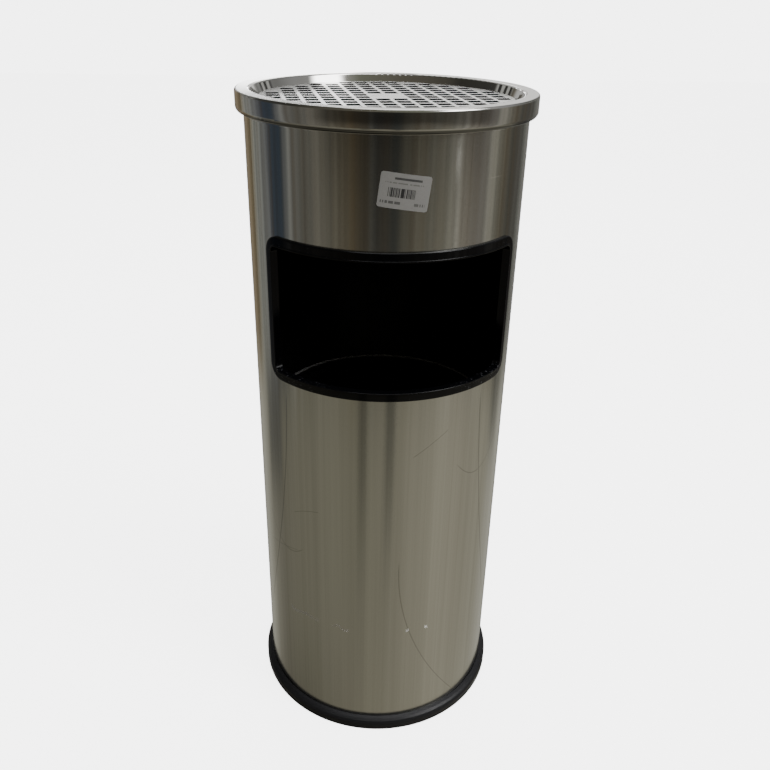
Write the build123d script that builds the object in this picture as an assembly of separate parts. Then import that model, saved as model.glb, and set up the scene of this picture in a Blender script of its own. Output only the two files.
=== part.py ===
from build123d import *
from math import degrees, hypot
import os

# A round free-standing ash and litter bin: a brushed stainless shell with a letter-box
# opening in front, a moulded base, a loose bucket inside and a lift-off ash tray on top.
# Frame: millimetres, +Z up, origin on the floor at the shell's axis, the opening faces -Y.

# ---------------------------------------------------------------- driving dimensions
TOTAL_HEIGHT = 610.0
OVERALL_RADIUS = 125.0          # the lid's skirt and the base ring
SHELL_RADIUS = 118.5            # outside of the rolled sheet
SHEET = 0.8                     # thickness of every pressed sheet piece
GAP = 0.3                       # room between pieces that move apart
TOUCH = 0.02                    # room between pieces that lie against each other

# ---------------------------------------------------------------- base
RING_HEIGHT = 13.5
RING_WALL_TOP = 8.0
RING_FLOOR = 2.6
RING_INNER_RADIUS = 99.0
GROOVE_FLOOR = 3.0
GROOVE_CLEARANCE = 0.2
LIP_THICKNESS = 2.1
LIP_HEIGHT = 12.0
BOSS_CIRCLE = 108.5
BOSS_RADIUS = 5.5
BOSS_COUNT = 4
SCREW_RADIUS = 1.9
SCREW_HEAD_RADIUS = 3.8
SCREW_HEAD_HEIGHT = 2.4
SCREW_TIP = 16.5
COUNTERBORE_DEPTH = 3.6
PLATE_Z = LIP_HEIGHT + 0.1
PLATE_FLANGE = 11.0
PLATE_DISH_RADIUS = 74.0
PLATE_DISH_DEPTH = 3.0
CHANNEL_INNER = 120.7
CHANNEL_OUTER = 122.9
CHANNEL_TOP = 9.0
RIB_COUNT = 24
RIB_THICKNESS = 1.6

# ---------------------------------------------------------------- shell and its opening
SHELL_TOP = TOTAL_HEIGHT - SHEET - GAP
HEM_HEIGHT = 8.0
SEAM_WIDTH = 10.0
SEAM_BOTTOM = 26.0
SEAM_GROOVE_WIDTH = 0.9         # the line that the folded seam leaves outside
SEAM_GROOVE_DEPTH = 0.3
OPENING_CENTRE = 443.3          # height of the opening's middle
FRAME_HEIGHT = 126.5            # over the outside of the flange
FRAME_HALF_ANGLE = 57.3
FRAME_CORNER = 14.0
FLANGE_WIDTH = 8.0
FLANGE_PROUD = 2.4
FRAME_DEPTH = 6.0
WEB = 1.8
HOOK_REACH = 2.5
HOOK_LENGTH = 12.0
FRAME_ROUND = 1.0
BEAD_WIDTH = 1.7                # raised line round the flange's inner edge
BEAD_PROUD = 0.7
BEAD_ROUND = 0.5
HOOK_TURNS = (-40, -20, 0, 20, 40)
HOOK_RISES = (-26, 26)
CUT_INSET = FLANGE_WIDTH - WEB - GAP    # from the flange's outside to the cut edge in the sheet
CUT_CORNER = FRAME_CORNER - CUT_INSET

# ---------------------------------------------------------------- bucket and handle
BUCKET_BOTTOM = PLATE_Z + SHEET + GAP
BUCKET_TOP = 320.0
BUCKET_TOP_RADIUS = 104.3
BUCKET_FOOT_RADIUS = 100.5
BEAD_RADIUS = 2.3
RIM_WIRE_RADIUS = 1.45
BUCKET_FLOOR_RISE = 5.0
PIVOT_Z = 305.0
PIVOT_HOLE = 2.1
EAR_INNER = 104.35
EAR_THICKNESS = 1.5
EAR_HALF_ANGLE = 7.0
EAR_HEIGHT = 18.0
RIVET_ANGLE = 5.0
RIVET_RADIUS = 1.6
RIVET_HEAD_RADIUS = 2.9
RIVET_HEAD_HEIGHT = 0.9
HANDLE_RADIUS = 111.2
HANDLE_WIRE = 1.75
HANDLE_DROOP = 6.0              # degrees below level where the handle lies against the bucket
GRIP_RADIUS = 3.3
GRIP_HALF_ANGLE = 24.0

# ---------------------------------------------------------------- ash tray
SKIRT_BOTTOM = 592.6
SKIRT_CURL = 4.4
SKIRT_LIP = 1.0                 # the sheet's edge, turned down again under the curl
SKIRT_LIP_RADIUS = SHELL_RADIUS + 1.3
RIM_EDGE = 1.8
RIM_FLAT_INNER = 113.2
LEDGE_TOP = 599.9
LEDGE_OUTER = 109.2
LEDGE_INNER = 101.8
BOWL_FLOOR = 562.0
BOWL_FLANGE_RADIUS = 108.2
GRILLE_TOP = 603.6
GRILLE_RADIUS = 107.0
GRILLE_PITCH = 14.4
GRILLE_HOLE = 11.2
GRILLE_HOLE_CORNER = 0.9
GRILLE_REACH = 96.5             # hole centres stay inside this radius
GRILLE_TURN = 6.0               # degrees that the lattice is turned on the tray

# ---------------------------------------------------------------- label
LABEL_WIDTH = 38.0
LABEL_HEIGHT = 26.0
LABEL_X = 4.0
LABEL_Z = 552.0
LABEL_TILT = 7.7
LABEL_THICKNESS = 0.15


def arc_degrees(length, radius):
    """Angle that an arc of this length takes on this radius."""
    return degrees(length / radius)


def spun(outline):
    """A full turn of a closed outline drawn as radius and height."""
    return revolve(Plane.XZ * make_face(outline), Axis.Z)


def box_ring(inner, outer, low, high):
    """A plain ring of rectangular section."""
    return spun(Polyline((inner, low), (outer, low), (outer, high), (inner, high), close=True))


def sheet_ring(points, radii, side):
    """A full turn of sheet metal that follows a bent line of radius and height."""
    line = FilletPolyline(*points, radius=radii)
    return spun(offset(line, amount=SHEET, side=side))


def panel(inner, outer, low, high, half_angle, corner=0.0):
    """A curved panel facing -Y, with its four corners rounded."""
    section = Pos((inner + outer) / 2, (low + high) / 2) * Rectangle(outer - inner, high - low)
    solid = Rot(0, 0, -90 - half_angle) * revolve(Plane.XZ * section, Axis.Z, 2 * half_angle)
    if corner:
        radial = [e for e in solid.edges().filter_by(GeomType.LINE) if abs(e.tangent_at(0.5).Z) < 0.5]
        solid = fillet(radial, corner)
    return solid


def opening_panel(inner, outer, inset, corner):
    """A panel whose outline is the frame's outline, drawn in by a margin on every side."""
    half_height = FRAME_HEIGHT / 2 - inset
    half_angle = FRAME_HALF_ANGLE - arc_degrees(inset, SHELL_RADIUS)
    return panel(inner, outer, OPENING_CENTRE - half_height, OPENING_CENTRE + half_height, half_angle, corner)


# ---------------------------------------------------------------- pieces of the bin's body
def body_shell():
    """Rolled sheet with a hemmed top, a lock seam down the back and the cut opening."""
    inner = SHELL_RADIUS - SHEET
    tube = box_ring(inner, SHELL_RADIUS, GROOVE_FLOOR + GROOVE_CLEARANCE, SHELL_TOP)
    hem = box_ring(inner - SHEET, SHELL_RADIUS, SHELL_TOP - HEM_HEIGHT, SHELL_TOP)
    seam_length = SHELL_TOP - HEM_HEIGHT - SEAM_BOTTOM
    seam = Rot(0, 0, 180) * panel(
        inner - 1.2, inner + 0.2, SEAM_BOTTOM, SEAM_BOTTOM + seam_length, arc_degrees(SEAM_WIDTH / 2, inner)
    )
    groove = Pos(0, SHELL_RADIUS, TOTAL_HEIGHT / 2)
    groove *= Box(SEAM_GROOVE_WIDTH, 2 * SEAM_GROOVE_DEPTH, 2 * TOTAL_HEIGHT)
    cut = opening_panel(SHELL_RADIUS - 6, SHELL_RADIUS + 6, CUT_INSET, CUT_CORNER)
    return tube + hem + seam - groove - cut


def on_radius(edge, radius):
    """True for an edge that lies on this radius all along."""
    spots = [edge.position_at(t) for t in (0.0, 0.5, 1.0)]
    return all(abs(hypot(p.X, p.Y) - radius) < 0.01 for p in spots)


def opening_frame():
    """Moulded trim: a flange over the sheet, a web through the cut, and snap hooks behind."""
    front = SHELL_RADIUS + FLANGE_PROUD
    back = front - FRAME_DEPTH
    hook_face = SHELL_RADIUS - SHEET - GAP
    half_height = FRAME_HEIGHT / 2 - CUT_INSET + HOOK_REACH
    half_angle = FRAME_HALF_ANGLE - arc_degrees(CUT_INSET - HOOK_REACH, SHELL_RADIUS)
    hook_angle = arc_degrees(HOOK_LENGTH / 2, SHELL_RADIUS)
    low = OPENING_CENTRE - half_height
    high = OPENING_CENTRE + half_height

    flange = opening_panel(SHELL_RADIUS + TOUCH, front, 0, FRAME_CORNER)
    flange = fillet([edge for edge in flange.edges() if on_radius(edge, front)], FRAME_ROUND)
    web = opening_panel(back, SHELL_RADIUS + 1, FLANGE_WIDTH - WEB, CUT_CORNER - GAP)
    hollow = opening_panel(back - 5, front + 5, FLANGE_WIDTH, CUT_CORNER - GAP - WEB)
    bead = opening_panel(front - 1, front + BEAD_PROUD, FLANGE_WIDTH - BEAD_WIDTH, CUT_CORNER - GAP)
    trim = flange + web + bead - hollow
    trim = fillet([edge for edge in trim.edges() if on_radius(edge, front + BEAD_PROUD)], BEAD_ROUND)
    for turn in HOOK_TURNS:
        trim += Rot(0, 0, turn) * panel(back, hook_face, low, high, hook_angle) - hollow
    for rise in HOOK_RISES:
        middle = OPENING_CENTRE + rise
        hooks = panel(back, hook_face, middle - HOOK_LENGTH / 2, middle + HOOK_LENGTH / 2, half_angle)
        trim += hooks - hollow
    return trim


def boss_places():
    """Where the base screws stand, between the front and the sides."""
    return [Rot(0, 0, 45 + 360 / BOSS_COUNT * i) * Pos(BOSS_CIRCLE, 0, 0) for i in range(BOSS_COUNT)]


def base_ring():
    """Moulded foot ring with a groove for the shell's edge and screw bosses."""
    groove_outer = SHELL_RADIUS + GROOVE_CLEARANCE
    groove_inner = SHELL_RADIUS - SHEET - GROOVE_CLEARANCE
    lip_inner = groove_inner - LIP_THICKNESS
    outline = Polyline(
        (RING_INNER_RADIUS, 0),
        (OVERALL_RADIUS - 0.8, 0),
        (OVERALL_RADIUS, 0.8),
        (OVERALL_RADIUS, RING_WALL_TOP),
        (OVERALL_RADIUS - 1.2, RING_WALL_TOP + 2.6),
        (OVERALL_RADIUS - 3.2, RING_HEIGHT - 1.1),
        (groove_outer + 0.6, RING_HEIGHT),
        (groove_outer, RING_HEIGHT),
        (groove_outer, GROOVE_FLOOR),
        (groove_inner, GROOVE_FLOOR),
        (groove_inner, LIP_HEIGHT),
        (lip_inner, LIP_HEIGHT),
        (lip_inner, RING_FLOOR),
        (RING_INNER_RADIUS, RING_FLOOR),
        close=True,
    )
    channel = box_ring(CHANNEL_INNER, CHANNEL_OUTER, -1, CHANNEL_TOP)
    for i in range(RIB_COUNT):
        rib = Box(OVERALL_RADIUS, RIB_THICKNESS, 3 * CHANNEL_TOP)
        channel -= Rot(0, 0, 360 / RIB_COUNT * i) * Pos(OVERALL_RADIUS / 2 + 60, 0, 0) * rib
    ring = spun(outline) - channel
    for place in boss_places():
        ring += place * Pos(0, 0, LIP_HEIGHT / 2) * Cylinder(BOSS_RADIUS, LIP_HEIGHT)
    for place in boss_places():
        ring -= place * Pos(0, 0, LIP_HEIGHT / 2) * Cylinder(SCREW_RADIUS + TOUCH, LIP_HEIGHT + 2)
        ring -= place * Pos(0, 0, COUNTERBORE_DEPTH / 2) * Cylinder(SCREW_HEAD_RADIUS + 0.4, COUNTERBORE_DEPTH)
    return ring


def base_screws():
    """Pan-head screws driven up through the bosses into the bottom plate."""
    length = SCREW_TIP - COUNTERBORE_DEPTH
    head_z = COUNTERBORE_DEPTH - TOUCH - SCREW_HEAD_HEIGHT / 2
    head = Pos(0, 0, head_z) * Cylinder(SCREW_HEAD_RADIUS, SCREW_HEAD_HEIGHT)
    head = fillet(head.edges().filter_by(GeomType.CIRCLE).sort_by(Axis.Z)[0], 0.9)
    shank = Pos(0, 0, SCREW_TIP - (length + 0.5) / 2) * Cylinder(SCREW_RADIUS, length + 0.5)
    shank = chamfer(shank.edges().filter_by(GeomType.CIRCLE).sort_by(Axis.Z)[-1], 1.1)
    slot_z = COUNTERBORE_DEPTH - SCREW_HEAD_HEIGHT + 0.5
    screw = head + shank
    for turn in (0, 90):
        screw -= Rot(0, 0, turn) * Pos(0, 0, slot_z) * Box(4.0, 0.9, 1.2)
    return Compound([place * screw for place in boss_places()])


def bottom_plate():
    """Flanged sheet disc that closes the shell and carries the bucket."""
    outer = SHELL_RADIUS - SHEET - TOUCH
    dish = PLATE_Z - PLATE_DISH_DEPTH
    line = [
        (0, dish),
        (PLATE_DISH_RADIUS, dish),
        (PLATE_DISH_RADIUS + PLATE_DISH_DEPTH, PLATE_Z),
        (outer, PLATE_Z),
        (outer, PLATE_Z + PLATE_FLANGE),
    ]
    plate = sheet_ring(line, [2.0, 2.0, 2.0], Side.LEFT)
    for place in boss_places():
        plate -= place * Pos(0, 0, PLATE_Z) * Cylinder(SCREW_RADIUS + TOUCH, 4)
    return plate


def price_label():
    """Printed paper sticker that follows the curve of the shell."""
    skin = box_ring(SHELL_RADIUS + TOUCH, SHELL_RADIUS + TOUCH + LABEL_THICKNESS, LABEL_Z - 40, LABEL_Z + 40)
    outline = Rot(0, 0, -LABEL_TILT) * RectangleRounded(LABEL_WIDTH, LABEL_HEIGHT, 2.0)
    place = Plane(origin=(LABEL_X, 0, LABEL_Z), x_dir=(1, 0, 0), z_dir=(0, -1, 0))
    return skin & extrude(place * outline, SHELL_RADIUS + 20)


# ---------------------------------------------------------------- pieces of the bucket
def bucket_radius(z):
    """Outside radius of the tapered bucket wall at this height."""
    share = (z - BUCKET_BOTTOM) / (BUCKET_TOP - BUCKET_BOTTOM)
    return BUCKET_FOOT_RADIUS + (BUCKET_TOP_RADIUS - BUCKET_FOOT_RADIUS) * share


def bead_centre():
    """Radius and height of the rolled rim's centre."""
    return BUCKET_TOP_RADIUS + 0.1, BUCKET_TOP - BEAD_RADIUS


def ring_rod(centre, radius):
    """A full ring of round bar."""
    return revolve(Plane.XZ * Pos(*centre) * Circle(radius), Axis.Z)


def bucket_wall():
    """Rolled and seamed wall with its top edge rolled over a wire."""
    centre = bead_centre()
    wall = spun(
        Polyline(
            (BUCKET_FOOT_RADIUS - SHEET, BUCKET_BOTTOM),
            (BUCKET_FOOT_RADIUS, BUCKET_BOTTOM),
            (bucket_radius(centre[1]), centre[1]),
            (bucket_radius(centre[1]) - SHEET, centre[1]),
            close=True,
        )
    )
    wall = wall + ring_rod(centre, BEAD_RADIUS) - ring_rod(centre, RIM_WIRE_RADIUS)
    wall -= Pos(0, 0, PIVOT_Z) * Rot(0, 90, 0) * Cylinder(PIVOT_HOLE, 3 * SHELL_RADIUS)
    for place in rivet_places():
        wall -= place * Cylinder(RIVET_RADIUS, 20)
    return wall


def bucket_floor():
    """Pressed disc with its edge turned down inside the foot of the wall."""
    top = BUCKET_BOTTOM + BUCKET_FLOOR_RISE
    outer = bucket_radius(BUCKET_BOTTOM) - SHEET - TOUCH
    return sheet_ring([(0, top), (outer, top), (outer, BUCKET_BOTTOM)], [1.6], Side.RIGHT)


def rivet_places():
    """Frames on the bucket wall, one for each rivet, with Z pointing outwards."""
    places = []
    for side in (0, 180):
        for turn in (-RIVET_ANGLE, RIVET_ANGLE):
            spot = Rot(0, 0, side + turn) * Pos(bucket_radius(PIVOT_Z), 0, PIVOT_Z) * Rot(0, 90, 0)
            places.append(spot)
    return places


def bucket_ear(side):
    """Pressed bracket that carries one end of the handle."""
    ear = Rot(0, 0, 90 + side) * panel(
        EAR_INNER, EAR_INNER + EAR_THICKNESS, PIVOT_Z - EAR_HEIGHT / 2, PIVOT_Z + 7.0, EAR_HALF_ANGLE, 4.0
    )
    ear -= Pos(0, 0, PIVOT_Z) * Rot(0, 90, 0) * Cylinder(PIVOT_HOLE, 3 * SHELL_RADIUS)
    for place in rivet_places():
        ear -= place * Cylinder(RIVET_RADIUS, 20)
    return ear


def bucket_rivets():
    """Solid rivets with a domed head outside and a flat head inside the wall."""
    inside = -SHEET - 0.1
    outside = EAR_INNER + EAR_THICKNESS - bucket_radius(PIVOT_Z) + TOUCH
    head = Cylinder(RIVET_HEAD_RADIUS, RIVET_HEAD_HEIGHT)
    dome = fillet(head.edges().filter_by(GeomType.CIRCLE).sort_by(Axis.Z)[-1], 0.6)
    shank = Pos(0, 0, (inside + outside) / 2) * Cylinder(RIVET_RADIUS - TOUCH, outside - inside)
    outer_head = Pos(0, 0, outside + RIVET_HEAD_HEIGHT / 2) * dome
    inner_head = Pos(0, 0, inside - RIVET_HEAD_HEIGHT / 2) * head
    rivet = shank + outer_head + inner_head
    return Compound([place * rivet for place in rivet_places()])


# ---------------------------------------------------------------- handle
def drooped(solid):
    """Turns a piece drawn level, towards +Y, down to where the handle rests."""
    return Pos(0, 0, PIVOT_Z) * Rot(-HANDLE_DROOP, 0, 0) * solid


def handle_arc(radius, half_angle):
    """Round bar bent on the handle's circle, centred on +Y."""
    section = Plane.XZ * Pos(HANDLE_RADIUS, 0) * Circle(radius)
    return Rot(0, 0, 90 - half_angle) * revolve(section, Axis.Z, 2 * half_angle)


def handle_wire():
    """Bent wire bail whose ends pass through the ears and are headed inside."""
    bail = handle_arc(HANDLE_WIRE, 90)
    head_face = bucket_radius(PIVOT_Z) - SHEET - 1.0
    for side in (-1, 1):
        length = HANDLE_RADIUS - head_face
        bail += Pos(side * (head_face + length / 2), 0, 0) * Rot(0, 90, 0) * Cylinder(HANDLE_WIRE, length)
        bail += Pos(side * HANDLE_RADIUS, 0, 0) * Sphere(HANDLE_WIRE)
        bail += Pos(side * (head_face - 0.6), 0, 0) * Rot(0, 90, 0) * Cylinder(HANDLE_WIRE + 1.5, 1.2)
    return drooped(bail)


def handle_grip():
    """Plastic sleeve on the middle of the handle."""
    grip = handle_arc(GRIP_RADIUS, GRIP_HALF_ANGLE)
    grip = fillet(grip.edges().filter_by(GeomType.CIRCLE), 1.2)
    return drooped(grip - handle_arc(HANDLE_WIRE + TOUCH, GRIP_HALF_ANGLE + 2))


# ---------------------------------------------------------------- ash tray
def lid_rim():
    """Spun ring that caps the shell, with a ledge inside for the bowl."""
    points = [
        (SKIRT_LIP_RADIUS, SKIRT_BOTTOM - SKIRT_LIP),
        (SKIRT_LIP_RADIUS, SKIRT_BOTTOM),
        (OVERALL_RADIUS, SKIRT_BOTTOM),
        (OVERALL_RADIUS, TOTAL_HEIGHT),
        (RIM_FLAT_INNER, TOTAL_HEIGHT),
        (LEDGE_OUTER, LEDGE_TOP),
        (LEDGE_INNER, LEDGE_TOP),
    ]
    return sheet_ring(points, [0.4, SKIRT_CURL, RIM_EDGE, 2.0, 1.4], Side.LEFT)


def ash_bowl():
    """Drawn bowl that hangs by its flange from the ledge."""
    flange = LEDGE_TOP + SHEET + TOUCH
    points = [(BOWL_FLANGE_RADIUS, flange), (99.6, flange), (88.0, BOWL_FLOOR), (0, BOWL_FLOOR)]
    return sheet_ring(points, [2.0, 6.0], Side.LEFT)


def grille_holes():
    """Centres of the square holes: a lattice with its middle four left out."""
    places = []
    count = int(GRILLE_REACH / GRILLE_PITCH) + 1
    for i in range(-count, count):
        for j in range(-count, count):
            x, y = (i + 0.5) * GRILLE_PITCH, (j + 0.5) * GRILLE_PITCH
            central = abs(x) < GRILLE_PITCH and abs(y) < GRILLE_PITCH
            if not central and hypot(x, y) < GRILLE_REACH:
                places.append((x, y))
    return places


def grille():
    """Perforated disc with a turned-down edge, resting on the bowl's flange."""
    foot = LEDGE_TOP + SHEET + TOUCH + GAP
    points = [(0, GRILLE_TOP), (GRILLE_RADIUS, GRILLE_TOP), (GRILLE_RADIUS, foot)]
    disc = sheet_ring(points, [1.6], Side.RIGHT)
    square = RectangleRounded(GRILLE_HOLE, GRILLE_HOLE, GRILLE_HOLE_CORNER)
    cutter = extrude(Sketch() + [Pos(*spot) * square for spot in grille_holes()], 4)
    return disc - Pos(0, 0, GRILLE_TOP - 2) * Rot(0, 0, GRILLE_TURN) * cutter


PIECES = {
    "body_shell": body_shell,
    "opening_frame": opening_frame,
    "base_ring": base_ring,
    "base_screws": base_screws,
    "bottom_plate": bottom_plate,
    "price_label": price_label,
    "bucket_wall": bucket_wall,
    "bucket_floor": bucket_floor,
    "bucket_rim_wire": lambda: ring_rod(bead_centre(), RIM_WIRE_RADIUS - TOUCH),
    "bucket_ear_right": lambda: bucket_ear(0),
    "bucket_ear_left": lambda: bucket_ear(180),
    "bucket_rivets": bucket_rivets,
    "handle_wire": handle_wire,
    "handle_grip": handle_grip,
    "lid_rim": lid_rim,
    "ash_bowl": ash_bowl,
    "grille": grille,
}

os.makedirs("parts", exist_ok=True)
for name, make in PIECES.items():
    export_step(make(), f"parts/{name}.step")
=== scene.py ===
from math import cos, pi, radians, sin

import bmesh
import bpy
from mathutils import Matrix, Vector


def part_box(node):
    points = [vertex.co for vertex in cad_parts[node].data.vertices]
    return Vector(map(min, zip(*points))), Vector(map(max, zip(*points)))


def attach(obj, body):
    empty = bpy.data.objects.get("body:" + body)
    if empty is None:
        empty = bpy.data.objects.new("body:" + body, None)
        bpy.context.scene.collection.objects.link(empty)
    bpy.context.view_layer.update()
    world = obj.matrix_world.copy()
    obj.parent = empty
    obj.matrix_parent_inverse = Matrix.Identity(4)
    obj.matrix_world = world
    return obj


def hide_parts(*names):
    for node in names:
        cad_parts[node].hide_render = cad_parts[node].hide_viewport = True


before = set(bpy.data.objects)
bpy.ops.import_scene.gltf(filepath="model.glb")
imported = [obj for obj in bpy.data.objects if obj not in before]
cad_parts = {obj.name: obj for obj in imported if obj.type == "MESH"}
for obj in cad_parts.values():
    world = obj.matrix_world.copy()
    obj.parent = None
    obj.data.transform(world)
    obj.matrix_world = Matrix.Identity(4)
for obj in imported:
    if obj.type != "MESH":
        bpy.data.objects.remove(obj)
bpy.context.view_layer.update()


# ---------------------------------------------------------------- base ring
# Foot ring of black polypropylene, injection moulded, which keeps the sheet edge off the
# floor. Its skin is a fine matt spark texture, rubbed smoother round the outer edge, and
# dust sticks to it low down.

class Wire:
    """One output of a shader tree; arithmetic on it adds Math nodes."""

    def __init__(self, tree, socket=None):
        self.tree = tree
        self.socket = socket

    def node(self, kind, inputs=None, out=0, stops=None, **settings):
        """Adds a node: settings first, then the stops of its ramp, then its inputs."""
        made = self.tree.nodes.new(kind)
        for name, value in settings.items():
            setattr(made, name, value)
        if stops:
            ramp = made.color_ramp
            ramp.elements[0].position, ramp.elements[0].color = stops[0][0], rgba(stops[0][1])
            ramp.elements[1].position, ramp.elements[1].color = stops[-1][0], rgba(stops[-1][1])
            for place, shade in stops[1:-1]:
                ramp.elements.new(place).color = rgba(shade)
        for name, value in (inputs or {}).items():
            if isinstance(value, Wire):
                self.tree.links.new(value.socket, made.inputs[name])
            else:
                made.inputs[name].default_value = value
        return Wire(self.tree, made.outputs[out])

    def math(self, operation, *others):
        values = dict(enumerate((self,) + others))
        return self.node("ShaderNodeMath", values, operation=operation)

    def ramped(self, low, high, smooth=True):
        """0 below low and 1 above high, or the other way round if high is the smaller."""
        first, last = (0.0, 1.0) if low < high else (1.0, 0.0)
        values = {"Value": self, "From Min": min(low, high), "From Max": max(low, high),
                  "To Min": first, "To Max": last}
        kind = "SMOOTHSTEP" if smooth else "LINEAR"
        return self.node("ShaderNodeMapRange", values, interpolation_type=kind)

    def near(self, middle, width):
        """1 at the middle value, falling to 0 at this distance from it."""
        return (self - middle).math("ABSOLUTE").ramped(width, 0.0)

    def between(self, first, second):
        """Blends two colours with this value as the factor."""
        made = self.tree.nodes.new("ShaderNodeMix")
        made.data_type = "RGBA"
        self.tree.links.new(self.socket, made.inputs["Factor"])
        for name, value in (("A", first), ("B", second)):
            socket = [s for s in made.inputs if s.name == name and s.type == "RGBA"][0]
            if isinstance(value, Wire):
                self.tree.links.new(value.socket, socket)
            else:
                socket.default_value = rgba(value)
        return Wire(self.tree, [s for s in made.outputs if s.type == "RGBA"][0])

    def noise(self, scale, detail=2.0, roughness=0.5):
        values = {"Vector": self, "Scale": scale, "Detail": detail, "Roughness": roughness}
        return self.node("ShaderNodeTexNoise", values, out="Fac")

    def __add__(self, other):
        return self.math("ADD", other)

    def __radd__(self, other):
        return self.math("ADD", other)

    def __sub__(self, other):
        return self.math("SUBTRACT", other)

    def __rsub__(self, other):
        return self.node("ShaderNodeMath", {0: other, 1: self}, operation="SUBTRACT")

    def __mul__(self, other):
        return self.math("MULTIPLY", other)

    def __rmul__(self, other):
        return self.math("MULTIPLY", other)

    def __truediv__(self, other):
        return self.math("DIVIDE", other)


def rgba(colour):
    """A grey level or three channels as a colour with full alpha."""
    if isinstance(colour, (int, float)):
        colour = (colour, colour, colour)
    return (*colour[:3], 1.0)


def new_finish(name, **constants):
    """A material, its shader node and the object coordinates that its patterns follow."""
    material = bpy.data.materials.new(name)
    material.use_nodes = True
    shader = material.node_tree.nodes["Principled BSDF"]
    for socket, value in constants.items():
        shader.inputs[socket.replace("_", " ")].default_value = value
    place = Wire(material.node_tree).node("ShaderNodeTexCoord", out="Object")
    return material, shader, place


def feed(shader, **wires):
    """Links what changes over the surface to the shader's sockets."""
    for socket, wire in wires.items():
        wire.tree.links.new(wire.socket, shader.inputs[socket.replace("_", " ")])


def relief(height, depth):
    """A normal from a height pattern, with its full depth in metres."""
    return height.node("ShaderNodeBump", {"Height": height * depth, "Distance": 1.0}, out="Normal")


def stretched(place, x, y, z):
    """Coordinates scaled along each axis, so that a pattern is drawn out along one."""
    return place.node("ShaderNodeVectorMath", {0: place, 1: (x, y, z)}, operation="MULTIPLY")


def split(place):
    """The three coordinates of a point."""
    made = place.tree.nodes.new("ShaderNodeSeparateXYZ")
    place.tree.links.new(place.socket, made.inputs[0])
    return [Wire(place.tree, made.outputs[i]) for i in range(3)]


def axis_distance(x, y):
    """Distance from the bin's axis."""
    return (x * x + y * y).math("SQRT")


def dress(material, *nodes):
    """Gives CAD pieces this finish."""
    for name in nodes:
        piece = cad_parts[name]
        piece.data.materials.clear()
        piece.data.materials.append(material)


DUST_TOP = 0.009

base_plastic, shader, place = new_finish("moulded_black_foot", Specular_IOR_Level=0.28)
x, y, z = split(place)
grain = place.noise(2600.0, 2.0)
patches = place.noise(38.0, 4.0, 0.6)
dust = z.ramped(DUST_TOP, 0.0) * patches.ramped(0.42, 0.7)
feed(
    shader,
    Base_Color=(dust * 0.5).between((0.010, 0.010, 0.011), (0.060, 0.056, 0.050)),
    Roughness=0.30 + patches * 0.22 + dust * 0.25,
    Normal=relief(grain, 0.00005),
)
dress(base_plastic, "base_ring")


# ---------------------------------------------------------------- bottom plate and screws
# Hot-dip galvanised sheet disc, pressed with a shallow dish and a flange that is spot
# welded inside the shell. Four zinc-plated pan-head screws hold the foot ring to it.

galvanised, shader, place = new_finish("galvanised_plate", Metallic=1.0)
values = {"Vector": place, "Scale": 95.0}
spangle = place.node("ShaderNodeTexVoronoi", values, out="Distance")
cells = place.node("ShaderNodeTexVoronoi", values, out="Color")
tone = split(cells)[0]
stain = place.noise(14.0, 4.0)
feed(
    shader,
    Base_Color=(tone * 0.6 + stain * 0.4).between((0.30, 0.31, 0.32), (0.56, 0.57, 0.58)),
    Roughness=0.34 + tone * 0.2 + stain * 0.1,
    Normal=relief(spangle, 0.00006),
)
dress(galvanised, "bottom_plate")

zinc, shader, place = new_finish("zinc_plate", Metallic=1.0)
mottle = place.noise(420.0, 4.0)
feed(
    shader,
    Base_Color=mottle.between((0.42, 0.42, 0.41), (0.66, 0.66, 0.64)),
    Roughness=0.24 + mottle * 0.2,
    Normal=relief(place.noise(1900.0), 0.00003),
)
dress(zinc, "base_screws")


# ---------------------------------------------------------------- shell
# Stainless sheet, belt brushed along its length and rolled into a tube, so that the grain
# runs round the bin. Outside it has handling scratches; inside it is painted black. The
# seam is folded, and stands at the back.

SHELL_RADIUS = 0.1185

brushed, shader, place = new_finish("brushed_shell", Anisotropic=0.94, Anisotropic_Rotation=0.25)
x, y, z = split(place)
radius = axis_distance(x, y)
around = x.math("ARCTAN2", 0.0 - y) * SHELL_RADIUS
outside = radius.ramped(SHELL_RADIUS - 0.0007, SHELL_RADIUS - 0.0005, False)

brush = stretched(place, 30.0, 30.0, 5200.0).noise(1.0, 3.0, 0.65)
# Upright bands and streaks in the steel's colour: partly uneven tone, partly painted reflection bands.
tone_and_reflection_bands = stretched(place, 80.0, 80.0, 0.8).noise(1.0, 4.0, 0.6).ramped(0.3, 0.7)
tone_and_reflection_streaks = stretched(place, 480.0, 480.0, 1.4).noise(1.0, 4.0, 0.7).ramped(0.3, 0.7)
clouds = place.noise(17.0, 3.0)
steel_tone_and_reflections = tone_and_reflection_bands * 0.45 + tone_and_reflection_streaks * 0.25 + brush * 0.18 + clouds * 0.12

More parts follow.
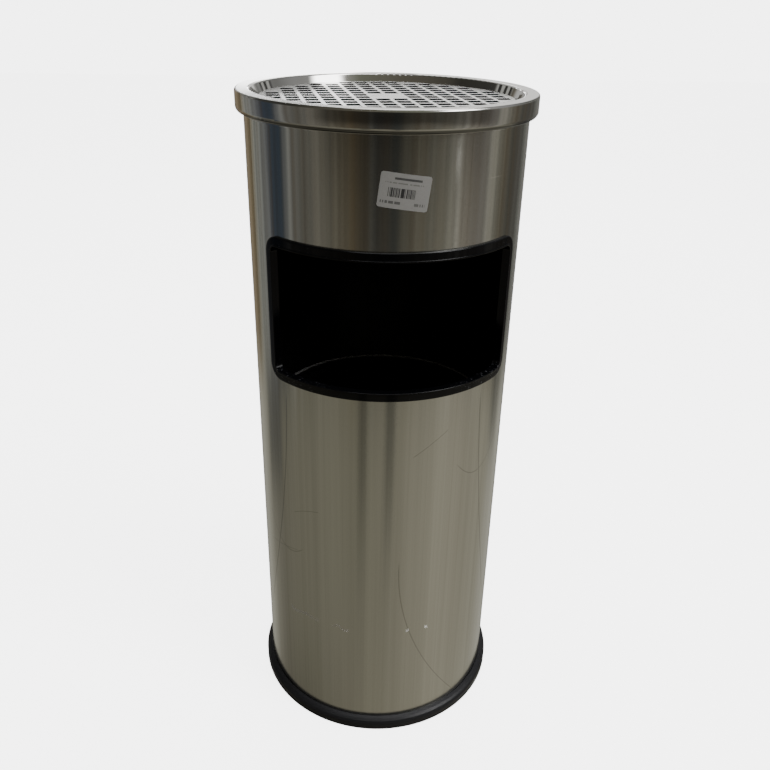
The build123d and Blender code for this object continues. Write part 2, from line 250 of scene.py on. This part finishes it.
# Each hairline: its two ends round the shell and in height, how far its middle bows, and
# its width, all in millimetres, then its strength. A steep one bows round the shell, and
# the others bow upwards.
HAIRLINES = (
    (18, 323, 52, 346, 0, 0.5, 0.6),
    (-97, 245, -66, 257, 2, 0.5, 0.5),
    (-138, 191, -92, 203, 0, 0.5, 0.5),
    (62, 308, 120, 314, -22, 1.0, 0.45),
    (-145, 240, -85, 208, -24, 0.9, 0.4),
    (87, 375, 134, 105, -9, 1.2, 0.6),
    (10, 215, 83, 15, -21, 0.9, 0.5),
    (-101, 375, -155, 90, 13, 1.2, 0.5),
)
MILLIMETRES = 1000.0
along = around * MILLIMETRES
height = z * MILLIMETRES
marks = None
for x0, z0, x1, z1, bow, width, strength in HAIRLINES:
    steep = abs(z1 - z0) > abs(x1 - x0)
    share = (height - z0) / (z1 - z0) if steep else (along - x0) / (x1 - x0)
    curve = share * (1.0 - share) * (4.0 * bow)
    line = share * (x1 - x0) + x0 + curve if steep else share * (z1 - z0) + z0 + curve
    lean = (x1 - x0) / (z1 - z0) if steep else (z1 - z0) / (x1 - x0)
    away = ((along if steep else height) - line).math("ABSOLUTE") / (1.0 + lean ** 2) ** 0.5
    mark = away.ramped(width, 0.0) * share.ramped(0.0, 0.08) * share.ramped(1.0, 0.92) * strength
    marks = mark if marks is None else marks.math("MAXIMUM", mark)

# Rubbed places near one height: the middle of each round the shell, and how far it reaches
# to either side. Their height wanders, and they are broken up.
SCUFF_HEIGHT = 126.0
SCUFF_WIDTH = 2.6
SCUFF_WANDER = 14.0
SCUFFS = ((-95, 16), (-78, 11), (-46, 12), (20, 2), (40, 2.5))
wander = (stretched(place, 60.0, 60.0, 0.0).noise(1.0, 2.0) - 0.5) * SCUFF_WANDER
scuffs = None
for middle, reach in SCUFFS:
    spot = along.near(middle, reach).ramped(0.0, 0.35)
    scuffs = spot if scuffs is None else scuffs + spot
scuffs = scuffs * (height - SCUFF_HEIGHT + wander).near(0.0, SCUFF_WIDTH).ramped(0.0, 0.5)
scuffs = scuffs * place.noise(700.0, 3.0).ramped(0.36, 0.52)

# A chalky patch and a fine line high on the right: each is a middle and a reach round the
# shell, then a middle and a reach in height.
CHALK = ((45.0, 4.0), (573.0, 26.0))
CHALK_LINE = ((84.0, 16.0), (557.0, 0.5))
powder = stretched(place, 500.0, 500.0, 900.0).noise(1.0, 2.0)
chalk = along.near(*CHALK[0]) * height.near(*CHALK[1]) * powder
chalk = chalk + height.near(*CHALK_LINE[1]) * along.near(*CHALK_LINE[0]) * 0.7
scuffs = scuffs.math("MAXIMUM", chalk * 0.55)

steel = steel_tone_and_reflections.between((0.50, 0.495, 0.455), (0.66, 0.655, 0.61))
steel = (marks * 0.75).between(steel, (0.13, 0.125, 0.11))
steel = (scuffs * 0.9).between(steel, (0.95, 0.94, 0.90))
rough = 0.06 + brush * 0.05 + tone_and_reflection_streaks * 0.03 + clouds * 0.04 + marks * 0.1 + scuffs * 0.3
inner_paint = place.noise(60.0, 3.0)
feed(
    shader,
    Base_Color=outside.between((0.006, 0.006, 0.006), steel),
    Metallic=outside,
    Roughness=outside * rough + (1.0 - outside) * (0.45 + inner_paint * 0.2),
    Normal=relief(brush * outside - marks * 0.6, 0.000012),
)
dress(brushed, "body_shell")


# ---------------------------------------------------------------- opening frame
# Glossy black ABS trim, injection moulded, snapped into the cut in the shell with hooks.
# It has a faint orange-peel skin, some dust and wipe marks, and scrapes at its sill's ends.

SILL_ENDS = (0.045, 0.075)
SILL_LEVELS = (0.400, 0.390)

gloss_black, shader, place = new_finish("gloss_black_trim", Specular_IOR_Level=0.26)
x, y, z = split(place)
peel = place.noise(520.0, 2.0)
wipes = stretched(place, 60.0, 60.0, 260.0).noise(1.0, 4.0, 0.65)
specks = place.noise(1500.0, 1.0).ramped(0.70, 0.78) * place.noise(25.0).ramped(0.45, 0.7)
ends = x.math("ABSOLUTE").ramped(*SILL_ENDS) * z.ramped(*SILL_LEVELS)
scrapes = stretched(place, 420.0, 420.0, 900.0).noise(1.0, 3.0, 0.7).ramped(0.60, 0.66) * ends
feed(
    shader,
    Base_Color=(specks * 0.5 + scrapes * 0.6).between(
        (0.0012, 0.0013, 0.0017), (0.10, 0.10, 0.11)),
    Roughness=0.05 + wipes * 0.10 + specks * 0.3 + scrapes * 0.2,
    Normal=relief(peel, 0.00003),
)
dress(gloss_black, "opening_frame")


# ---------------------------------------------------------------- bucket
# Loose bucket of thin sheet, painted black before its rim was rolled over a wire. A light metal
# band runs all round the top of its rim: partly rubbed-through paint, partly a painted highlight.

BUCKET_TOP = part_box("bucket_wall")[1].z
RIM_BAND_DEPTH = 0.0013

black_paint, shader, place = new_finish("black_bucket_paint", Specular_IOR_Level=0.5)
x, y, z = split(place)
rubbed = place.noise(130.0, 5.0, 0.7)
# Painted highlight: a lighter, metallic band all round the rim's top, broken a little by rubbed paint.
rim_wear_and_highlight = z.ramped(BUCKET_TOP - RIM_BAND_DEPTH, BUCKET_TOP - 0.0003)
rim_wear_and_highlight = rim_wear_and_highlight * (0.6 + rubbed.ramped(0.40, 0.62) * 0.4)
skin = place.noise(700.0, 2.0)
feed(
    shader,
    Base_Color=rim_wear_and_highlight.between((0.006, 0.006, 0.0065), (0.62, 0.61, 0.60)),
    Metallic=rim_wear_and_highlight * 0.6,
    Roughness=0.32 + rubbed * 0.2,
    Normal=relief(skin, 0.00004),
)
dress(black_paint, "bucket_wall", "bucket_floor", "bucket_ear_right", "bucket_ear_left")
dress(zinc, "bucket_rim_wire")

rivet_metal, shader, place = new_finish("aluminium_rivets", Metallic=1.0)
turned = place.noise(800.0, 3.0)
feed(
    shader,
    Base_Color=turned.between((0.48, 0.48, 0.49), (0.70, 0.70, 0.70)),
    Roughness=0.3 + turned * 0.2,
    Normal=relief(turned, 0.00003),
)
dress(rivet_metal, "bucket_rivets")


# ---------------------------------------------------------------- handle
# Bail of drawn zinc-plated wire, bent to clear the rim and headed inside the bucket, with a
# moulded plastic sleeve where the hand goes.

dress(zinc, "handle_wire")

grip_plastic, shader, place = new_finish("matt_black_grip", Specular_IOR_Level=0.4)
skin = place.noise(1800.0, 2.0)
handled = place.noise(60.0, 3.0)
feed(
    shader,
    Base_Color=handled.between((0.014, 0.014, 0.015), (0.030, 0.030, 0.030)),
    Roughness=0.45 + handled * 0.25,
    Normal=relief(skin, 0.00005),
)
dress(grip_plastic, "handle_grip")


# ---------------------------------------------------------------- lid rim and ash bowl
# Stainless ring spun over a former and buffed, so that its fine lines run round it. Painted
# shade darkens its colour under its curl. The bowl is drawn from duller sheet, and has ash and
# tar in it, and its near-black colour is partly painted shade.

LID_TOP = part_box("lid_rim")[1].z
SKIRT_MIDDLE = LID_TOP - 0.0085
SKIRT_FACE = (0.1236, 0.1246)       # radii between which the skirt's outer face begins
SKIRT_SWELL = 5.5                   # how barrelled the skirt looks
SKIRT_RIPPLE = 0.0002
CURL_LOW = LID_TOP - 0.0174
CURL_FACE = (0.1197, 0.1202)

spun_steel, shader, place = new_finish(
    "spun_rim", Metallic=1.0, Anisotropic=0.2, Anisotropic_Rotation=0.25)
x, y, z = split(place)
radius = axis_distance(x, y)
skirt = radius.ramped(*SKIRT_FACE) * z.ramped(LID_TOP, LID_TOP - 0.001)
rise = z - SKIRT_MIDDLE
ripple = stretched(place, 22.0, 22.0, 60.0).noise(1.0, 2.0) * SKIRT_RIPPLE
swell = (rise * rise * -SKIRT_SWELL - ripple) * skirt
turning = radius.node("ShaderNodeCombineXYZ", {"X": radius * 4200.0, "Y": z * 4200.0, "Z": x * 8.0})
lines = turning.noise(1.0, 2.0, 0.6)
smudge = place.noise(30.0, 4.0, 0.6)
buffed = (lines * 0.4 + smudge * 0.6).between((0.52, 0.51, 0.48), (0.72, 0.715, 0.69))
# Painted shade under the curl: the colour there is darkened as if in shadow.
painted_curl_shade = z.ramped(CURL_LOW + 0.0042, CURL_LOW + 0.0024) * z.ramped(CURL_LOW - 0.0003, CURL_LOW)
painted_curl_shade = painted_curl_shade * radius.ramped(*CURL_FACE) * (0.85 + smudge * 0.15)
feed(
    shader,
    Base_Color=(painted_curl_shade * 0.9).between(buffed, (0.045, 0.043, 0.038)),
    Roughness=0.03 + lines * 0.03 + smudge * 0.05 + skirt * 0.05,
    Normal=relief(lines * 0.000002 + swell, 1.0),
)
dress(spun_steel, "lid_rim")

BOWL_DARK_TOP = 0.600
BOWL_DARK_LOW = 0.562

tar_and_shade_finish, shader, place = new_finish("tar_and_shade_bowl")
x, y, z = split(place)
radius = axis_distance(x, y)
turning = radius.node("ShaderNodeCombineXYZ", {"X": radius * 1500.0, "Y": z * 1500.0, "Z": x * 12.0})
lines = turning.noise(1.0, 2.0)
ash = place.noise(85.0, 6.0, 0.7)
# Tar and ash, with painted shade: the bowl is near black all over and darker lower down, so the holes
# look dark.
tar_and_painted_shade = (ash + z.ramped(BOWL_DARK_TOP, BOWL_DARK_LOW) * 0.35).ramped(0.50, 0.85)
feed(
    shader,
    Base_Color=tar_and_painted_shade.between((0.012, 0.0117, 0.011), (0.004, 0.0038, 0.0036)),
    Metallic=0.9 - tar_and_painted_shade * 0.8,
    Roughness=0.38 + lines * 0.1 + tar_and_painted_shade * 0.35,
    Normal=relief(ash, 0.0002),
)
dress(tar_and_shade_finish, "ash_bowl")


# ---------------------------------------------------------------- grille
# Disc of stainless sheet, punched with square holes whose edges are tumbled smooth, and
# turned down round its rim. It rests on the bowl's flange. Its face is polished, and
# cigarettes stubbed out on it have left it a little dull and sooty.

GRILLE_LOW, GRILLE_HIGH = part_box("grille")
SHEET = 0.0008
EDGE_ROUND = 0.0016
EDGE_STEPS = 6
ROUND_STEPS = 180
HOLES_ACROSS = 14
MERGE = 0.00001
TUMBLED_EDGE = 0.0001
GRILLE_SIZES = {
    "Pitch": 0.0144,
    "Hole": 0.0112,
    "Hole corner": 0.0009,
    "Reach": 0.0965,
    "Turn": radians(6.0),
    "Face radius": GRILLE_HIGH.x - EDGE_ROUND,
    "Top": GRILLE_HIGH.z,
    "Sheet": SHEET,
}

punched, shader, place = new_finish("punched_grille", Metallic=1.0)
soot = place.noise(46.0, 5.0, 0.65)
hairs = stretched(place, 1500.0, 90.0, 90.0).noise(1.0, 3.0)
x, y, z = split(place)
# Painted shade: below the top face, on the holes' walls and underneath, the colour is near black.
painted_shade_below_face = z.ramped(GRILLE_HIGH.z - 0.00004, GRILLE_HIGH.z - 0.00016)
polish = (soot.ramped(0.45, 0.8) * 0.45).between((0.74, 0.74, 0.73), (0.24, 0.23, 0.22))
feed(
    shader,
    Base_Color=(painted_shade_below_face * 0.97).between(polish, (0.012, 0.012, 0.012)),
    Roughness=0.10 + hairs * 0.08 + soot * 0.16 + painted_shade_below_face * 0.3,
    Normal=relief(hairs, 0.00001),
)


def lathe(name, profile, steps):
    """Spins (radius, height) points round the axis."""
    mesh = bpy.data.meshes.new(name)
    turns = [2.0 * pi * i / steps for i in range(steps)]
    points = [(r * cos(a), r * sin(a), height) for a in turns for r, height in profile]
    size = len(profile)
    faces = []
    for i in range(steps):
        here, there = i * size, (i + 1) % steps * size
        faces += [(here + k, there + k, there + k + 1, here + k + 1) for k in range(size - 1)]
    mesh.from_pydata(points, [], faces)
    made = bpy.data.objects.new(name, mesh)
    bpy.context.scene.collection.objects.link(made)
    return made


def joined(*parts):
    """Joins geometry within a tree."""
    made = parts[0].tree.nodes.new("GeometryNodeJoinGeometry")
    for part in parts:
        made.id_data.links.new(part.socket, made.inputs[0])
    return Wire(made.id_data, made.outputs[0])


def disc_tree():
    """Node tree that closes a turned rim with a flat face full of square holes."""
    tree = bpy.data.node_groups.new("punched_disc", "GeometryNodeTree")
    tree.interface.new_socket(name="Result", in_out="OUTPUT", socket_type="NodeSocketGeometry")
    tree.interface.new_socket(name="Rim", in_out="INPUT", socket_type="NodeSocketGeometry")
    for name in GRILLE_SIZES:
        tree.interface.new_socket(name=name, in_out="INPUT", socket_type="NodeSocketFloat")
    tree.interface.new_socket(name="Finish", in_out="INPUT", socket_type="NodeSocketMaterial")
    start = Wire(tree)
    given = {name: start.node("NodeGroupInput", out=name) for name in (*GRILLE_SIZES, "Rim", "Finish")}
    pitch, radius = given["Pitch"], given["Face radius"]

    side = pitch * (HOLES_ACROSS - 1)
    grid = {"Size X": side, "Size Y": side, "Vertices X": HOLES_ACROSS, "Vertices Y": HOLES_ACROSS}
    lattice = start.node("GeometryNodeMeshGrid", grid, out="Mesh")
    x, y, z = split(start.node("GeometryNodeInputPosition"))
    from_axis = axis_distance(x, y)
    in_middle = x.math("ABSOLUTE").math("LESS_THAN", pitch)
    in_middle = in_middle * y.math("ABSOLUTE").math("LESS_THAN", pitch)
    blank = from_axis.math("GREATER_THAN", given["Reach"]).math("MAXIMUM", in_middle)
    blanked = {"Geometry": lattice, "Selection": blank}
    places = start.node("GeometryNodeDeleteGeometry", blanked, domain="POINT")

    sides = {"Width": given["Hole"], "Height": given["Hole"]}
    square = start.node("GeometryNodeCurvePrimitiveQuadrilateral", sides)
    corners = {"Curve": square, "Count": 3, "Radius": given["Hole corner"]}
    outline = start.node("GeometryNodeFilletCurve", corners, mode="POLY")
    holes = start.node("GeometryNodeInstanceOnPoints", {"Points": places, "Instance": outline})
    turn = start.node("ShaderNodeCombineXYZ", {"Z": given["Turn"]})
    holes = start.node("GeometryNodeTransform", {"Geometry": holes, "Rotation": turn})
    holes = start.node("GeometryNodeRealizeInstances", {"Geometry": holes})
    round_edge = {"Resolution": ROUND_STEPS, "Radius": radius}
    circle = start.node("GeometryNodeCurvePrimitiveCircle", round_edge)

    face = start.node("GeometryNodeFillCurve", {"Curve": joined(circle, holes)}, mode="TRIANGLES")
    lift = start.node("ShaderNodeCombineXYZ", {"Z": given["Top"]})
    face = start.node("GeometryNodeTransform", {"Geometry": face, "Translation": lift})
    thick = tree.nodes.new("GeometryNodeExtrudeMesh")
    tree.links.new(face.socket, thick.inputs["Mesh"])
    tree.links.new((given["Sheet"] * -1.0).socket, thick.inputs["Offset Scale"])
    thick.inputs["Individual"].default_value = False
    outer_wall = from_axis.math("GREATER_THAN", radius - 0.0005) * Wire(tree, thick.outputs["Side"])
    doubled = {"Geometry": Wire(tree, thick.outputs["Mesh"]), "Selection": outer_wall}
    walls = start.node("GeometryNodeDeleteGeometry", doubled, domain="FACE")
    whole = joined(face, walls, given["Rim"])
    whole = start.node("GeometryNodeMergeByDistance", {"Geometry": whole, "Distance": MERGE * 2.0})
    whole = start.node("GeometryNodeRealizeInstances", {"Geometry": whole})
    whole = start.node("GeometryNodeSetMaterial", {"Geometry": whole, "Material": given["Finish"]})
    result = tree.nodes.new("NodeGroupOutput")
    tree.links.new(whole.socket, result.inputs["Result"])
    return tree


def grown(base, tree, sizes, finish):
    """Runs a node tree on a piece and keeps its result as a plain closed mesh."""
    growth = base.modifiers.new("growth", "NODES")
    growth.node_group = tree
    for item in tree.interface.items_tree:
        if item.in_out == "INPUT" and item.name in sizes:
            growth[item.identifier] = sizes[item.name]
        if item.in_out == "INPUT" and item.name == "Finish":
            growth[item.identifier] = finish
    ready = base.evaluated_get(bpy.context.evaluated_depsgraph_get())
    mesh = bpy.data.meshes.new_from_object(ready)
    base.modifiers.remove(growth)
    base.data = mesh
    shape = bmesh.new()
    shape.from_mesh(mesh)
    bmesh.ops.remove_doubles(shape, verts=shape.verts, dist=MERGE)
    bmesh.ops.recalc_face_normals(shape, faces=shape.faces)
    shape.to_mesh(mesh)
    shape.free()
    return base


def edge_arc(bend):
    """Quarter round of the turned-down edge, from its top outwards."""
    reach, rise = GRILLE_HIGH.x - EDGE_ROUND, GRILLE_HIGH.z - EDGE_ROUND
    turns = [radians(90.0 * i / EDGE_STEPS) for i in range(EDGE_STEPS + 1)]
    return [(reach + bend * sin(a), rise + bend * cos(a)) for a in turns]


foot = [(GRILLE_HIGH.x, GRILLE_LOW.z), (GRILLE_HIGH.x - SHEET, GRILLE_LOW.z)]
profile = edge_arc(EDGE_ROUND) + foot + edge_arc(EDGE_ROUND - SHEET)[::-1]
grille = lathe("grille_plate", profile, ROUND_STEPS)
grown(grille, disc_tree(), GRILLE_SIZES, punched)
tumbled = grille.modifiers.new("tumbled", "BEVEL")
tumbled.width = TUMBLED_EDGE
tumbled.segments = 2
tumbled.limit_method = "ANGLE"
tumbled.angle_limit = radians(50.0)
grille.data.shade_smooth()
weighted = grille.modifiers.new("weighted", "WEIGHTED_NORMAL")
weighted.keep_sharp = True
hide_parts("grille")
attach(grille, "grille")


# ---------------------------------------------------------------- label
# Small coated-paper sticker under the rim, put on a little crooked. Its print is plain:
# a heading rule, a few text-like rules and a block of bars, with nothing to read.

LABEL_MIDDLE = (0.004, 0.552)
LABEL_TILT = radians(7.7)

paper, shader, place = new_finish("label_paper", Specular_IOR_Level=0.4)
x, y, z = split(place)
across = (x - LABEL_MIDDLE[0]) * cos(LABEL_TILT) - (z - LABEL_MIDDLE[1]) * sin(LABEL_TILT)
height = (x - LABEL_MIDDLE[0]) * sin(LABEL_TILT) + (z - LABEL_MIDDLE[1]) * cos(LABEL_TILT)
across = across * MILLIMETRES
height = height * MILLIMETRES


def printed(low_x, high_x, low_z, high_z):
    """1 inside a rectangle of print, in millimetres from the label's middle."""
    inside = across.math("GREATER_THAN", low_x) * across.math("LESS_THAN", high_x)
    return inside * height.math("GREATER_THAN", low_z) * height.math("LESS_THAN", high_z)


def dashes(pitch, share):
    """Uneven dashes along a line of print."""
    cell = (across * (1.0 / pitch)).math("FLOOR")
    chance = cell.node("ShaderNodeTexWhiteNoise", {"W": cell}, out="Value", noise_dimensions="1D")
    return chance.math("LESS_THAN", share)


ink = printed(-12.5, 8.5, -4.6, 2.2) * dashes(0.42, 0.58)
ink = ink.math("MAXIMUM", printed(-8.5, 12.0, 8.2, 9.8) * 0.85)
ink = ink.math("MAXIMUM", printed(-15.0, 13.5, 5.3, 6.2) * dashes(0.8, 0.7) * 0.45)
ink = ink.math("MAXIMUM", printed(-17.0, -2.0, -9.6, -7.6) * dashes(0.9, 0.7) * 0.7)
ink = ink.math("MAXIMUM", printed(8.5, 16.5, -9.6, -7.6) * dashes(0.9, 0.7) * 0.6)
fibre = place.noise(900.0, 4.0)
# Painted shade: the paper is mid grey, far darker than white paper, as if the label lay in shadow.
sheet = fibre.between((0.24, 0.235, 0.225), (0.30, 0.294, 0.283))
feed(
    shader,
    Base_Color=ink.between(sheet, (0.03, 0.03, 0.03)),
    Roughness=0.32 + fibre * 0.15,
    Normal=relief(fibre, 0.00002),
)
dress(paper, "price_label")


# ---------------------------------------------------------------- floor, light and camera
# A pale studio floor under broad soft lamps. The room round it is a pattern by direction:
# its walls, windows, furniture and floor show in the metal as soft upright bands.

def flat_sheet(name, side, height):
    mesh = bpy.data.meshes.new(name)
    half = side / 2
    corners = [(-half, -half), (half, -half), (half, half), (-half, half)]
    mesh.from_pydata([(x, y, height) for x, y in corners], [], [(0, 1, 2, 3)])
    sheet = bpy.data.objects.new(name, mesh)
    bpy.context.scene.collection.objects.link(sheet)
    return sheet


FLOOR_SIDE = 12.0
FLOOR_GLOW = 4.2
BACKDROP = 5.2
ROOM_TURN = 4.9                     # degrees that the walls are turned about the bin
DEGREES = 180.0 / pi

floor = flat_sheet("floor", FLOOR_SIDE, 0.0)
pale, shader, place = new_finish("pale_floor")
feed(shader, Base_Color=place.noise(3.0, 4.0).between((0.86, 0.86, 0.86), (0.90, 0.90, 0.90)))
shader.inputs["Emission Color"].default_value = rgba(1.0)
shader.inputs["Emission Strength"].default_value = FLOOR_GLOW
floor.data.materials.append(pale)
floor.visible_glossy = False
floor.visible_diffuse = False

world = bpy.data.worlds.new("studio")
bpy.context.scene.world = world
world.use_nodes = True
tree = world.node_tree
tree.nodes.clear()
start = Wire(tree)
ray = start.node("ShaderNodeTexCoord", out="Generated")
x, y, z = split(ray)
azimuth = x.math("ARCTAN2", 0.0 - y) * DEGREES
level = z.math("ARCSINE") * DEGREES
turn = (azimuth + ROOM_TURN + 180.0) / 360.0


def at(angle):
    """Place on the walls' ramp of an angle right of the camera's side."""
    return (angle + 180.0) / 360.0


walls = turn.node("ShaderNodeValToRGB", {"Fac": turn}, stops=[
    (at(-180), (0.36, 0.36, 0.35)),
    (at(-150), (0.30, 0.24, 0.16)),
    (at(-138), (0.22, 0.18, 0.11)),
    (at(-132), (0.40, 0.40, 0.36)),
    (at(-108), (0.15, 0.16, 0.18)),
    (at(-104), (0.055, 0.070, 0.095)),
    (at(-92), (0.045, 0.060, 0.085)),
    (at(-88), (0.12, 0.125, 0.13)),
    (at(-85), (0.33, 0.33, 0.32)),
    (at(-80), (0.20, 0.20, 0.19)),
    (at(-70), (0.14, 0.135, 0.12)),
    (at(-60), (0.20, 0.19, 0.165)),
    (at(-48), (0.20, 0.19, 0.16)),
    (at(-34), (0.16, 0.145, 0.11)),
    (at(-24), (0.12, 0.095, 0.06)),
    (at(-12), (0.065, 0.062, 0.052)),
    (at(-10.5), (0.15, 0.15, 0.14)),
    (at(-9), (0.050, 0.048, 0.044)),
    (at(8), (0.055, 0.052, 0.045)),
    (at(14), (0.10, 0.095, 0.078)),
    (at(28), (0.17, 0.16, 0.13)),
    (at(50), (0.25, 0.24, 0.20)),
    (at(60), (0.40, 0.385, 0.34)),
    (at(70), (0.26, 0.235, 0.20)),
    (at(84), (0.27, 0.255, 0.235)),
    (at(96), (0.40, 0.39, 0.34)),
    (at(104), (0.18, 0.165, 0.13)),
    (at(126), (0.10, 0.095, 0.085)),
    (at(140), (0.13, 0.13, 0.12)),
    (at(150), (0.28, 0.28, 0.26)),
    (at(180), (0.36, 0.36, 0.35)),
])
near_floor = turn.node("ShaderNodeValToRGB", {"Fac": turn}, stops=[
    (at(-180), (0.16, 0.16, 0.14)),
    (at(-150), (0.22, 0.21, 0.17)),
    (at(-120), (0.13, 0.12, 0.095)),
    (at(-90), (0.11, 0.105, 0.08)),
    (at(-30), (0.23, 0.215, 0.17)),
    (at(0), (0.29, 0.275, 0.215)),
    (at(60), (0.37, 0.35, 0.28)),
    (at(100), (0.40, 0.385, 0.315)),
    (at(150), (0.50, 0.49, 0.42)),
    (at(180), (0.16, 0.16, 0.14)),
])
far_floor = turn.node("ShaderNodeValToRGB", {"Fac": turn}, stops=[
    (at(-180), (0.22, 0.22, 0.19)),
    (at(-145), (0.42, 0.41, 0.35)),
    (at(-125), (0.24, 0.23, 0.19)),
    (at(-108), (0.19, 0.18, 0.145)),
    (at(-85), (0.22, 0.21, 0.165)),
    (at(-45), (0.245, 0.235, 0.185)),
    (at(-22), (0.235, 0.225, 0.175)),
    (at(10), (0.29, 0.275, 0.22)),
    (at(60), (0.40, 0.38, 0.31)),
    (at(85), (0.37, 0.35, 0.285)),
    (at(120), (0.38, 0.365, 0.30)),
    (at(145), (0.46, 0.45, 0.39)),
    (at(180), (0.22, 0.22, 0.19)),
])


def uneven(scale, detail, roughness, low, high):
    """Bands of uneven width round the room."""
    values = {"W": azimuth, "Scale": scale, "Detail": detail, "Roughness": roughness}
    noise = azimuth.node("ShaderNodeTexNoise", values, out="Fac", noise_dimensions="1D")
    return noise.ramped(low, high)


def facing(middle, reach, edge, round_room=azimuth):
    """1 towards this angle round the room, falling to 0 this many degrees to either side."""
    return round_room.near(middle, reach).ramped(0.0, edge)


# Darker furniture stands along the walls, some of it brownish and some bluish. The walls
# ahead are darker from a little below eye level up.
tinted = uneven(0.14, 1.0, 0.5, 0.42, 0.58).between((0.065, 0.046, 0.026), (0.036, 0.046, 0.050))
walls = (uneven(0.26, 2.5, 0.6, 0.43, 0.58) * 0.52).between(walls, tinted)
ahead = level.ramped(-14.0, -8.0) * facing(12.0, 92.0, 0.35)
walls = (ahead * 0.62).between(walls, (0.0, 0.0, 0.0))

# The floor: near and far, and in shade just under the bin.
ground = level.ramped(-52.0, -42.0).between(near_floor, far_floor)
ground = level.ramped(-55.0, -64.0).between(ground, (0.03, 0.03, 0.027))

ceiling = turn.node("ShaderNodeValToRGB", {"Fac": turn}, stops=[
    (at(-180), (0.40, 0.40, 0.40)),
    (at(-155), (0.16, 0.15, 0.13)),
    (at(-120), (0.06, 0.06, 0.055)),
    (at(-76), (0.045, 0.044, 0.038)),
    (at(-60), (0.09, 0.085, 0.07)),
    (at(-15), (0.14, 0.13, 0.105)),
    (at(28), (0.20, 0.205, 0.165)),
    (at(44), (0.40, 0.40, 0.37)),
    (at(100), (0.34, 0.34, 0.34)),
    (at(120), (0.22, 0.22, 0.215)),
    (at(150), (0.30, 0.30, 0.30)),
    (at(180), (0.40, 0.40, 0.40)),
])
above = level.ramped(0.0, 14.0).between(walls, ceiling)

# Glazed doors stand at either side of the back.
both_sides = azimuth.math("ABSOLUTE")
panes = (azimuth * 0.75).math("SINE").ramped(-0.3, 0.3)
doors = facing(135.0, 16.0, 0.3, both_sides) * level.near(16.0, 9.0).ramped(0.0, 0.4)
above = (doors * 0.9).between(above, panes.between((0.03, 0.03, 0.028), (0.55, 0.55, 0.53)))

# The back wall has a corner in its middle, a low bright window and a soft glow above it.
rear = (azimuth + 360.0).math("MODULO", 360.0)
back_wall = rear.ramped(177.5, 181.0).between((1.10, 1.09, 1.06), (0.62, 0.62, 0.61))
window = facing(181.5, 6.0, 0.4, rear) * level.ramped(6.9, 6.2)
back_wall = window.between(back_wall, (7.0, 7.0, 7.0))
glow = facing(173.0, 11.0, 0.5, rear) * level.near(34.0, 24.0).ramped(0.0, 0.5)
back_wall = glow.between(back_wall, (4.0, 4.0, 3.9))
behind = both_sides.ramped(150.0, 160.0) * level.ramped(1.0, 4.0) * level.ramped(75.0, 50.0)
above = behind.between(above, back_wall)

# A tall light at the right and a broad one overhead. Both give less light than they show.
soft = start.node("ShaderNodeLightPath", out="Is Diffuse Ray")
tall = facing(57.0, 22.0, 0.55) * level.ramped(22.0, 29.0) * level.ramped(78.0, 62.0)
above = tall.between(above, soft.between((10.0, 10.0, 10.1), (1.2, 1.2, 1.2)))
broad = facing(-5.0, 60.0, 0.3) * level.near(66.0, 14.0)
above = broad.between(above, soft.between((5.0, 5.0, 5.2), (0.5, 0.5, 0.5)))

# Two stools ahead and two shaded places to the sides stand on the floor.
stools = facing(-21.0, 5.5, 0.5) + facing(4.0, 6.5, 0.5)
ground = (stools * level.ramped(-42.0, -30.0) * 0.75).between(ground, (0.09, 0.088, 0.072))
left_shade = facing(-122.0, 17.0, 0.5) * level.ramped(-36.0, -31.0)
ground = (left_shade * 0.75).between(ground, (0.09, 0.09, 0.085))
right_shade = azimuth.near(125.0, 16.0) * level.ramped(-33.0, -28.0)
ground = (right_shade * 0.8).between(ground, (0.10, 0.10, 0.09))

room = level.ramped(-29.0, -22.0).between(ground, above)
seen = start.node("ShaderNodeLightPath", out="Is Camera Ray")
shade = seen.between(room, (BACKDROP, BACKDROP, BACKDROP))
background = start.node("ShaderNodeBackground", {"Color": shade, "Strength": 1.0})
output = tree.nodes.new("ShaderNodeOutputWorld")
tree.links.new(background.socket, output.inputs["Surface"])


def lamp(name, spot, target, size, power):
    """A square soft lamp that points at a target."""
    data = bpy.data.lights.new(name, "AREA")
    data.shape = "SQUARE"
    data.size = size
    data.energy = power
    made = bpy.data.objects.new(name, data)
    made.location = spot
    made.rotation_euler = (Vector(target) - Vector(spot)).to_track_quat("-Z", "Y").to_euler()
    bpy.context.scene.collection.objects.link(made)
    return made


overhead = lamp("overhead", (0.0, 0.0, 2.6), (0, 0, 0), 3.2, 75.0)
overhead.visible_glossy = False
side = lamp("side", (1.3, -1.2, 1.5), (0, 0, 0.4), 0.7, 2.5)
side.visible_glossy = False

eye = bpy.data.cameras.new("eye")
eye.lens = 37.36
eye.sensor_width = 36.0
camera = bpy.data.objects.new("eye", eye)
bpy.context.scene.collection.objects.link(camera)
camera.matrix_world = (
    Matrix.Translation((-0.0597, -0.6964, 0.6893))
    @ Matrix.Rotation(radians(-5.2), 4, "Z")
    @ Matrix.Rotation(radians(90 - 26.88), 4, "X")
    @ Matrix.Rotation(radians(1.3), 4, "Z")
)
bpy.context.scene.camera = camera
